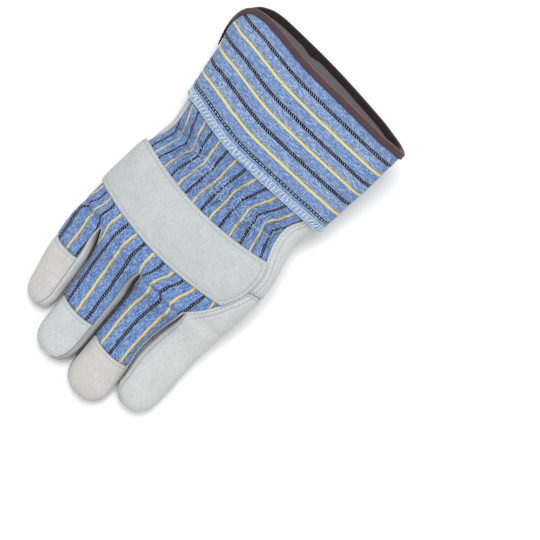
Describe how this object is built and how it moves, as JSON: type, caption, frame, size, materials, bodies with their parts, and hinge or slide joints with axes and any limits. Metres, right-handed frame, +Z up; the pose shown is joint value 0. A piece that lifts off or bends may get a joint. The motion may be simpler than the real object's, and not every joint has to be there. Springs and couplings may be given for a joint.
{
  "type": "leather palm work glove",
  "caption": "Right-hand work glove with a split leather palm, fingertips and knuckle strap, a striped cloth back and a flared safety cuff, lying palm down with its thumb folded under.",
  "frame": {"origin": "under the middle of the glove, on the surface that it lies on", "axes": "+Y from the fingertips to the mouth of the cuff, +X to the index finger side, +Z up from the back of the hand"},
  "size_m": [0.1384, 0.2624, 0.0634],
  "materials": {
    "split_leather": "pale grey split cowhide, suede nap",
    "striped_cloth": "blue cotton drill with yellow and black stripes along the hand",
    "striped_cuff_cloth": "the same striped cotton, rubberised inside, stripes round the cuff",
    "lining_cloth": "grey rubberised lining cloth",
    "binding_tape": "dark brown twill binding tape"
  },
  "bodies": {
    "root": {"back_panel": "striped_cloth", "palm": "split_leather", "index_back": "split_leather", "front_ring": "split_leather", "front_middle": "split_leather", "tip_pinky": "split_leather", "tip_ring": "split_leather", "tip_middle": "split_leather", "fourchette_pinky_ring": "split_leather", "fourchette_ring_middle": "split_leather", "fourchette_middle_index": "split_leather", "knuckle_strap": "split_leather", "thumb_front": "split_leather", "thumb_back": "split_leather", "pulse_patch": "split_leather", "cuff": "striped_cuff_cloth", "cuff_lining": "lining_cloth", "cuff_binding": "binding_tape"}
  },
  "joints": []
}
